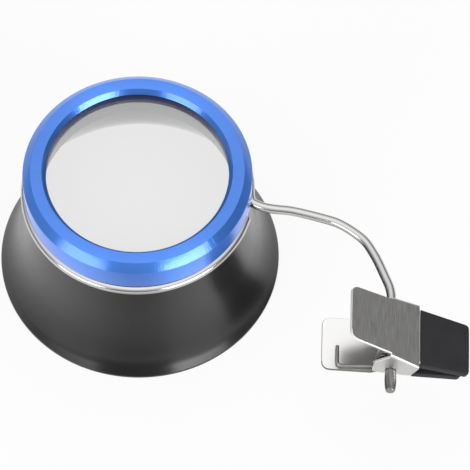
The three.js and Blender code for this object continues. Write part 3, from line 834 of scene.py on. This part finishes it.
class Blank:
    """A jaw's flat blank. Its points are (along, across), and folding them gives the outer face."""

    def __init__(self, nesting, handle_length, reach, pin_height):
        back_half = EAR_BACK_HALF_WIDTH - nesting
        front_half = EAR_FRONT_HALF_WIDTH - nesting
        self.handle_length = handle_length
        self.reach = reach
        self.pin_height = pin_height
        self.neck_half = min(HANDLE_NECK_HALF_WIDTH, back_half)
        self.ear_stations = [(-EAR_NECK_BACK, back_half), (JAW_BEND_AT, front_half)]
        self.handle_stations = [(-handle_length, HANDLE_HALF_WIDTH), (-EAR_NECK_BACK, self.neck_half)]

    def flat_half(self, along):
        """How far the flat middle reaches before an ear's bend begins."""
        return ramp(along, self.ear_stations) - EAR_BEND_RADIUS

    def on_ear(self, along, up):
        """The blank's place for a point of the ear's side view."""
        below_bend = sheet_height(along) - EAR_BEND_RADIUS - up
        return along, self.flat_half(along) + EAR_BEND_RUN + below_bend

    def fold(self, along, across):
        """Where a point of the blank comes to lie. The handle goes over into the ears' neck smoothly."""
        flat, height = self.flat_half(along), sheet_height(along)
        beyond = abs(across) - flat
        if beyond <= 0 or along > JAW_BEND_AT - EAR_SLIT / 2:
            return Vector((along, across, height))
        turn = min(beyond / EAR_BEND_RADIUS, math.pi / 2)
        out = flat + EAR_BEND_RADIUS * math.sin(turn)
        down = EAR_BEND_RADIUS * (1 - math.cos(turn)) + max(0, beyond - EAR_BEND_RUN)
        handle_half = ramp(along, self.handle_stations)
        if along < -EAR_NECK_BACK and abs(across) < handle_half + NECK_BLEND:
            folded = smooth_step(along, -EAR_NECK_BACK - NECK_BLEND, -EAR_NECK_BACK)
            out = abs(across) + (out - abs(across)) * folded
            down *= folded
        return Vector((along, math.copysign(out, across), height - down))

    def outward(self, along, across):
        """The folded sheet's normal, away from its inner face."""
        step = 0.01
        run = self.fold(along + step, across) - self.fold(along - step, across)
        turn = self.fold(along, across + step) - self.fold(along, across - step)
        return run.cross(turn).normalized()

    def rim(self):
        """Points round the blank: handle, ear, slit behind the jaw, jaw, and the same mirrored."""
        slit = JAW_BEND_AT - EAR_SLIT
        slit_half = min(self.flat_half(slit), JAW_START_HALF_WIDTH) - EAR_SLIT
        half = [
            (-self.handle_length, HANDLE_HALF_WIDTH, HANDLE_CORNER),
            (-EAR_NECK_BACK, self.neck_half, HANDLE_NECK_CORNER),
            *((*self.on_ear(along, up), radius) for along, up, radius in EAR_CORNERS),
            (*self.on_ear(slit, BEND_HEIGHT - EAR_BEND_RADIUS), FINE_EDGE),
            (slit, slit_half, FINE_EDGE),
            (JAW_BEND_AT, slit_half, FINE_EDGE),
            (JAW_BEND_AT, JAW_START_HALF_WIDTH + JAW_START_OVERHANG, FINE_EDGE),
            (self.reach, JAW_TIP_HALF_WIDTH, JAW_CORNER),
        ]
        outline = rounded([*half, *((along, -across, radius) for along, across, radius in reversed(half))])
        points = []
        for start, end in sides_of(outline):
            pieces = max(1, math.ceil(math.dist(start, end) / RIM_STEP))
            for piece in range(pieces):
                points.append(tuple(a + (b - a) * (piece / pieces) for a, b in zip(start, end)))
        return points

    def hole(self, side):
        """Points round the pin hole in one of the ears."""
        points = []
        for step in range(HOLE_STEPS):
            angle = 2 * math.pi * step / HOLE_STEPS
            up = self.pin_height + PIN_HOLE_RADIUS * math.sin(angle)
            along, across = self.on_ear(PIN_HOLE_RADIUS * math.cos(angle), up)
            points.append((along, side * across))
        return points

    def inner_points(self):
        """Columns of points across the flat middle, round the ears' bends and down the ears."""
        columns = [
            *np.arange(-self.handle_length + FIRST_COLUMN_INSET, NECK_COLUMNS[0], HANDLE_COLUMN_STEP),
            *np.arange(*NECK_COLUMNS),
            *np.arange(*EAR_COLUMNS),
            *np.arange(*BEND_COLUMNS),
            *np.arange(TIP_COLUMNS_FROM, self.reach, TIP_COLUMN_STEP),
        ]
        points = []
        for along in columns:
            flat = self.flat_half(along)
            places = [flat * share for share in FLAT_SHARES]
            places += [flat + EAR_BEND_RUN * step / EAR_BEND_STEPS for step in range(1, EAR_BEND_STEPS + 1)]
            places += [flat + EAR_BEND_RUN + EAR_ROW_STEP * row for row in range(1, EAR_ROWS + 1)]
            points += [(along, side * place) for place in places for side in (1, -1) if place > 0 or side > 0]
        return np.array(points)


def inside(points, outline):
    """Which points lie inside a closed outline, as an array of truth values."""
    x, y = points[:, 0], points[:, 1]
    hit = np.zeros(len(points), bool)
    for (x0, y0), (x1, y1) in sides_of(outline):
        if y0 == y1:
            continue
        crossing = (y0 > y) != (y1 > y)
        hit ^= crossing & (x < (x1 - x0) * (y - y0) / (y1 - y0) + x0)
    return hit


def fill(rim, holes, inner_points):
    """Fills a rim with triangles, round its holes. The borders' points come first, loop after loop."""

    def in_sheet(points):
        return inside(points, rim) & ~np.any([inside(points, hole) for hole in holes], axis=0)

    borders = np.array([point for border in (rim, *holes) for point in border])
    gaps = np.sqrt(((inner_points[:, None] - borders[None]) ** 2).sum(2)).min(1)
    kept = inner_points[in_sheet(inner_points) & (gaps > RIM_GAP)]
    loops, first = [], 0
    for border in (rim, *holes):
        loops.append(range(first, first + len(border)))
        first += len(border)
    edges = [(loop[at - 1], loop[at]) for loop in loops for at in range(len(loop))]
    flat = [Vector(point) for point in [*borders.tolist(), *kept.tolist()]]
    points, _, triangles, *_ = delaunay_2d_cdt(flat, edges, [], 0, 1e-6)
    centres = np.array([sum((points[at] for at in corners), Vector((0, 0))) / 3 for corners in triangles])
    return points, [corners for corners, wanted in zip(triangles, in_sheet(centres)) if wanted], loops


def chamfer_steps(points, loops):
    """For each point of the borders, the short step into the sheet that its chamfer takes.

    The sheet lies inside its rim, which is the first loop, and outside the holes.
    """
    steps = {}
    for loop in loops:
        winding = sum(points[a].cross(points[b]) for a, b in sides_of(loop))
        width = math.copysign(EDGE_CHAMFER, winding if loop == loops[0] else -winding)
        for at, here in enumerate(loop):
            run = (points[loop[(at + 1) % len(loop)]] - points[loop[at - 1]]).normalized()
            steps[here] = Vector((-run.y, run.x)) * width
    return steps


def make_jaw(name, node, matrix, blank, finishes):
    """The outer face, a narrow chamfer, the cut edge, the other chamfer and the inner face."""
    points, triangles, loops = fill(blank.rim(), [blank.hole(1), blank.hole(-1)], blank.inner_points())
    steps = chamfer_steps(points, loops)
    outer = [blank.fold(*point) for point in points]
    normals = [blank.outward(*point) for point in points]
    eased = [blank.fold(*(points[at] + steps[at])) if at in steps else outer[at] for at in range(len(points))]
    layers = [
        eased,
        [outer[at] - normals[at] * EDGE_CHAMFER for at in steps],
        [outer[at] - normals[at] * (SHEET - EDGE_CHAMFER) for at in steps],
        [place - normal * SHEET for place, normal in zip(eased, normals)],
    ]
    firsts = [sum(len(layer) for layer in layers[:row]) for row in range(len(layers))]
    faces = [tuple(corners) for corners in triangles]
    faces += [tuple(at + firsts[-1] for at in reversed(corners)) for corners in triangles]
    uvs = [points[at].yx for corners in triangles for at in corners]
    uvs += [points[at].yx for corners in triangles for at in reversed(corners)]
    finish_of = [0] * len(faces)
    for loop in loops:
        for at, here in enumerate(loop):
            beside = loop[(at + 1) % len(loop)]
            along, further = at * RIM_STEP, at * RIM_STEP + RIM_STEP
            for row, (first, following) in enumerate(zip(firsts, firsts[1:])):
                faces.append((here + first, beside + first, beside + following, here + following))
                uvs += [(row, along), (row, further), (row + 1, further), (row + 1, along)]
                finish_of.append(1)
    geometry = [vertex for layer in layers for vertex in layer], faces, uvs, finish_of
    piece = make_piece(name, node, geometry, finishes, matrix, SHEET_SHARP_DEG)
    ride(piece, node)


# Rubber sleeves


def sleeve_ring(along, reach, side, face, edge):
    """A rounded rectangle across the jaw, larger than it by side and face, with slightly crowned faces."""
    half = ramp(along, [(JAW_START, JAW_START_HALF_WIDTH), (reach, JAW_TIP_HALF_WIDTH)]) + side
    sheet_face = ramp(along, [(JAW_START, JAW_START_HEIGHT), (JAW_REACH, JAW_TIP_HEIGHT)])
    top = sheet_face + face
    foot = sheet_face - SHEET - face
    middle = (top + foot) / 2
    edge = min(edge, (top - foot) / 2 * MOST_ROUND, half * MOST_ROUND)
    left, right, low, high = edge - half, half - edge, foot + edge, top - edge
    corners = []
    for corner, (y, z) in enumerate(((right, high), (left, high), (left, low), (right, low))):
        for turn in quarter_turn(CORNER_STEPS):
            angle = corner * math.pi / 2 + turn
            corners.append((y + edge * math.cos(angle), z + edge * math.sin(angle)))
    ring = []
    for at, (start, end) in enumerate(sides_of(corners), 1):
        pieces = SLEEVE_FLAT_STEPS if at % (CORNER_STEPS + 1) == 0 else 1
        for piece in range(pieces):
            y, z = Vector(start).lerp(Vector(end), piece / pieces)
            crown = SLEEVE_CROWN * (1 - (y / half) ** 2)
            ring.append(Vector((along, y, z + math.copysign(crown, z - middle))))
    return ring


def make_sleeve(name, node, matrix, reach):
    """The pocket from its end to the mouth, then the lip, the straight part and the rounded tip."""
    start = JAW_START - SLEEVE_LIP_OVERLAP
    end = reach + SLEEVE_FIT + SLEEVE_END_WALL
    side, face = SLEEVE_FIT + SLEEVE_SIDE_WALL, SLEEVE_FIT + SLEEVE_WALL
    along = [reach + SLEEVE_FIT, start + SLEEVE_LIP]
    rings = [sleeve_ring(place, reach, SLEEVE_FIT, SLEEVE_FIT, SLEEVE_POCKET_EDGE) for place in along]

    def add_ring(place, inset_side=0, inset_face=0):
        rings.append(sleeve_ring(place, reach, side - inset_side, face - inset_face, SLEEVE_EDGE))
        along.append(place)

    for turn in quarter_turn(CORNER_STEPS):
        inset = SLEEVE_LIP * (1 - math.sin(turn))
        add_ring(start + SLEEVE_LIP * (1 - math.cos(turn)), inset, inset)
    straight = end - SLEEVE_PLAN_CORNER - start - SLEEVE_LIP
    for step in range(1, SLEEVE_STRAIGHT_STEPS):
        add_ring(start + SLEEVE_LIP + straight * step / SLEEVE_STRAIGHT_STEPS)
    for turn in quarter_turn(SLEEVE_TIP_STEPS):
        place = end - SLEEVE_PLAN_CORNER * (1 - math.sin(turn))
        past = max(0, place - (end - SLEEVE_EDGE)) / SLEEVE_EDGE
        inset_face = SLEEVE_EDGE * (1 - math.sqrt(max(0, 1 - past**2))) * MOST_ROUND
        add_ring(place, SLEEVE_PLAN_CORNER * (1 - math.cos(turn)), inset_face)
    count = len(rings[0])
    girth = 2 * (2 * JAW_START_HALF_WIDTH + SHEET)
    around = [girth * step / count for step in range(count + 1)]
    shell = skin(rings, along, around, capped=True)
    piece = make_piece(name, node, shell, [BLACK_RUBBER], matrix, SOFT_SHARP_DEG)
    ride(piece, node)


# Torsion spring


def coil_tangent(side):
    """Where a leg ends, and the angle at which it leaves the coil, seen along the pin."""
    slope = (HANDLE_END_HEIGHT - BEND_HEIGHT) / (HANDLE_LENGTH + JAW_BEND_AT)
    handle_inside = side * (BEND_HEIGHT + slope * (JAW_BEND_AT + LEG_REACH) - SHEET) + PIVOT_OFFSET
    end = Vector((-LEG_REACH, handle_inside - side * (SPRING_RADIUS + SPRING_SEAT_GAP)))
    lean = math.acos(COIL_RADIUS / end.length)
    angle = math.atan2(end.y, end.x) % (2 * math.pi)
    return end, angle - side * lean


def leg_points(end, start, splay):
    """A leg from the coil to under its handle, where its tip is bent in across the clip."""
    corner = Vector((end.x, start.y + splay, end.y))
    outward = (corner - start).normalized()
    inward = Vector((0, -math.copysign(1, start.y), 0))
    bend_start = corner - outward * LEG_TIP_BEND_RADIUS
    points = [start.lerp(bend_start, share) for share in (0.25, 0.5, 0.75)]
    for turn in quarter_turn(LEG_BEND_STEPS):
        gone_out = outward * (LEG_TIP_BEND_RADIUS * math.sin(turn))
        gone_in = inward * (LEG_TIP_BEND_RADIUS * (1 - math.cos(turn)))
        points.append(bend_start + gone_out + gone_in)
    points.append(Vector((corner.x, math.copysign(LEG_TIP_STOP, start.y), corner.z)))
    return points


def make_spring():
    """One leg, the coil round the pin and the other leg. Each leg follows its own jaw."""
    upper_end, upper_angle = coil_tangent(1)
    lower_end, lower_angle = coil_tangent(-1)
    full_turn = 2 * math.pi
    wound = upper_angle - lower_angle + full_turn * (COIL_WHOLE_TURNS + 1)
    steps = math.ceil(SPRING_STEPS_PER_TURN * wound / full_turn)
    coil = []
    for step in range(steps + 1):
        angle = upper_angle - wound * step / steps
        across = COIL_HALF_LENGTH * (1 - 2 * step / steps)
        coil.append(Vector((COIL_RADIUS * math.cos(angle), across, COIL_RADIUS * math.sin(angle))))
    route = [
        *reversed(leg_points(upper_end, coil[0], 0)),
        *coil,
        *leg_points(lower_end, coil[-1], -LOWER_LEG_SPLAY),
    ]
    section = (SPRING_RADIUS, SPRING_RADIUS)
    geometry = sweep(route, lambda from_end: section, SPRING_SIDES, SPRING_END_ROUNDING)
    finishes = [SPRING_STEEL]
    spring = make_piece("torsion_spring_wire", "torsion_spring", geometry, finishes, CLIP, SOFT_SHARP_DEG)
    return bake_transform(spring)


make_eye_cone()
make_lens()
make_ring()
make_wire()
upper_blank = Blank(0, HANDLE_LENGTH, JAW_REACH, -PIVOT_OFFSET)
lower_blank = Blank(EAR_NESTING, LOWER_HANDLE_LENGTH, LOWER_JAW_REACH, PIVOT_OFFSET)
make_jaw("upper_jaw_sheet", "upper_jaw", UPPER, upper_blank, [BRUSHED_SHEET, SHEET_EDGE])
# The lower jaw's cut edges are darkened: painted shade
make_jaw("lower_jaw_sheet", "lower_jaw", LOWER, lower_blank, [POLISHED_SHEET, SHEET_EDGE_PAINTED_SHADE])
make_sleeve("upper_rubber_sleeve", "upper_jaw_sleeve", UPPER, JAW_REACH)
make_sleeve("lower_rubber_sleeve", "lower_jaw_sleeve", LOWER, LOWER_JAW_REACH)
make_spring()


# Studio: a pale floor, a soft room and two soft boxes

CAMERA_AIM = Vector((13.31, 3.43, 0))
CAMERA_ELEVATION_DEG = 59.76
CAMERA_DISTANCE = 703.1
CAMERA_FOCAL_PX = 5000
CAMERA_CLIP_M = (0.01, 20)
PICTURE_WIDTH_PX = 470
SENSOR_MM = 36
SOFT_BOX_DISTANCE_M = 1.3
# The room's strength on its walls and overhead, and what is left of it in front and to the right.
# The two fades are stretches of a direction's Y and X
ROOM_WALL = 0.28
ROOM_CEILING = 1.75
ROOM_FRONT = 0.7
ROOM_FRONT_FADE = (-0.95, -0.35)
ROOM_RIGHT = 0.4
ROOM_RIGHT_FADE = (0.35, 0.9)
FLOOR_ALBEDO = 0.9
FLOOR_HALF_M = 3.0
FLOOR_DROP = 0.02
# Painted shade on the floor, which only metal mirrors: centre, half width, half length, share of full shade,
# darkest
PAINTED_FLOOR_SHADES = [
    (Vector((23.6, -10.5, 0)), 6.2, 9, 0.6, 0.02),
    (Vector((0, -34, 0)), 34, 24, 0.1, 0.3),
]
# How much of the floor is plain white to the camera, in metal and through glass
WHITE_TO_CAMERA = 0.88
WHITE_IN_METAL = 0.75
WHITE_THROUGH_GLASS = 0.73


def make_camera():
    data = bpy.data.cameras.new("camera")
    data.sensor_width = SENSOR_MM
    data.lens = SENSOR_MM * CAMERA_FOCAL_PX / PICTURE_WIDTH_PX
    data.clip_start, data.clip_end = CAMERA_CLIP_M
    camera = place_object("camera", data)
    tilt = math.radians(CAMERA_ELEVATION_DEG)
    back = Vector((0, -math.cos(tilt), math.sin(tilt)))
    camera.location = LOUPE @ (CAMERA_AIM + back * CAMERA_DISTANCE)
    camera.rotation_euler = (math.pi / 2 - tilt, 0, 0)
    bpy.context.scene.camera = camera


def soft_box(name, azimuth_deg, elevation_deg, width_deg, height_deg, radiance):
    """A rectangular lamp facing the loupe. Azimuth 0 is straight in front, and 90 to the right."""
    azimuth, elevation = math.radians(azimuth_deg), math.radians(elevation_deg)
    direction = Vector((
        math.sin(azimuth) * math.cos(elevation),
        -math.cos(azimuth) * math.cos(elevation),
        math.sin(elevation),
    ))
    data = bpy.data.lights.new(name, "AREA")
    data.shape = "RECTANGLE"
    data.size = 2 * SOFT_BOX_DISTANCE_M * math.tan(math.radians(width_deg) / 2)
    data.size_y = 2 * SOFT_BOX_DISTANCE_M * math.tan(math.radians(height_deg) / 2)
    data.energy = radiance * math.pi * data.size * data.size_y
    lamp = place_object(name, data)
    lamp.location = direction * SOFT_BOX_DISTANCE_M
    lamp.rotation_euler = direction.to_track_quat("Z", "Y").to_euler()
    lamp.visible_camera = False


def make_world():
    """White to the camera. As light, a room with a bright ceiling, darker in front and to the right."""
    world = bpy.data.worlds.new("studio")
    bpy.context.scene.world = world
    world.use_nodes = True
    tree = world.node_tree
    tree.nodes.clear()
    place = add(tree, "ShaderNodeTexCoord").outputs["Generated"]
    direction = add(tree, "ShaderNodeSeparateXYZ", place).outputs
    overhead = calculate(tree, "POWER", over(tree, direction["Z"], 0, 1, 0, 1), 2)
    ceiling = over(tree, overhead, 0, 1, ROOM_WALL, ROOM_CEILING)
    front = over(tree, direction["Y"], *ROOM_FRONT_FADE, ROOM_FRONT, 1)
    right = over(tree, direction["X"], *ROOM_RIGHT_FADE, 1, ROOM_RIGHT)
    strength = calculate(tree, "MULTIPLY", calculate(tree, "MULTIPLY", ceiling, front), right)
    room = add(tree, "ShaderNodeBackground", Strength=strength).outputs["Background"]
    backdrop = add(tree, "ShaderNodeBackground", Color=(1, 1, 1, 1)).outputs["Background"]
    to_camera = add(tree, "ShaderNodeLightPath").outputs["Is Camera Ray"]
    choose = add(tree, "ShaderNodeMixShader", to_camera, room, backdrop)
    add(tree, "ShaderNodeOutputWorld", Surface=choose.outputs["Shader"])


def painted_floor_shade(tree, in_metal):
    """Painted shade on the floor that only metal mirrors: darker in front, and beside the eye cone where the
    clip's shadow would fall.
    """
    place = add(tree, "ShaderNodeTexCoord").outputs["Object"]
    light = 1
    for centre, half_width, half_length, core, darkest in PAINTED_FLOOR_SHADES:
        size = (half_width * MM, half_length * MM, 1)
        shift = add(tree, "ShaderNodeMapping", Vector=place, Location=LOUPE @ centre, Scale=size)
        shift.vector_type = "TEXTURE"
        distance = add(tree, "ShaderNodeVectorMath", shift.outputs["Vector"])
        distance.operation = "LENGTH"
        spot = over(tree, distance.outputs["Value"], core, 1, darkest, 1)
        light = calculate(tree, "MULTIPLY", light, spot)
    return calculate(tree, "MAXIMUM", light, calculate(tree, "SUBTRACT", 1, in_metal))


def floor_finish():
    """Matte, but partly plain white to the camera, in metal and through glass. Metal mirrors it with painted
    shade.
    """
    finish = bpy.data.materials.new("floor")
    finish.use_nodes = True
    tree = finish.node_tree
    tree.nodes.clear()
    rays = add(tree, "ShaderNodeLightPath").outputs
    shade = painted_floor_shade(tree, rays["Is Glossy Ray"])
    to_camera = calculate(tree, "MULTIPLY", rays["Is Camera Ray"], WHITE_TO_CAMERA)
    in_metal = calculate(tree, "MULTIPLY", rays["Is Glossy Ray"], WHITE_IN_METAL)
    in_metal = calculate(tree, "MULTIPLY", in_metal, shade)
    through_glass = calculate(tree, "MULTIPLY", rays["Is Transmission Ray"], WHITE_THROUGH_GLASS)
    veil = calculate(tree, "MAXIMUM", calculate(tree, "MAXIMUM", to_camera, in_metal), through_glass)
    albedo = over(tree, shade, 0, 1, 0, FLOOR_ALBEDO)
    matte = add(tree, "ShaderNodeBsdfDiffuse", Color=albedo).outputs["BSDF"]
    white = add(tree, "ShaderNodeEmission", Color=(1, 1, 1, 1)).outputs["Emission"]
    mix = add(tree, "ShaderNodeMixShader", veil, matte, white)
    add(tree, "ShaderNodeOutputMaterial", Surface=mix.outputs["Shader"])
    return finish


def make_floor():
    """A pale floor that keeps the shadow, just under the loupe."""
    mesh = bpy.data.meshes.new("floor")
    corners = [(x * FLOOR_HALF_M, y * FLOOR_HALF_M, 0) for x, y in ((-1, -1), (1, -1), (1, 1), (-1, 1))]
    mesh.from_pydata(corners, [], [(0, 1, 2, 3)])
    mesh.materials.append(floor_finish())
    floor = place_object("floor", mesh)
    floor.location.z = -FLOOR_DROP * MM
    floor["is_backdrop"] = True


make_camera()
soft_box("right_box", azimuth_deg=39, elevation_deg=19, width_deg=36, height_deg=24, radiance=6.6)
soft_box("left_box", azimuth_deg=-46, elevation_deg=20, width_deg=34, height_deg=22, radiance=3.6)
make_world()
make_floor()
bpy.context.scene.view_settings.view_transform = "Standard"

boxes = {"cad": cad_box, "visual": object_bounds()}
{name: [list(corner) for corner in box] for name, box in boxes.items()}
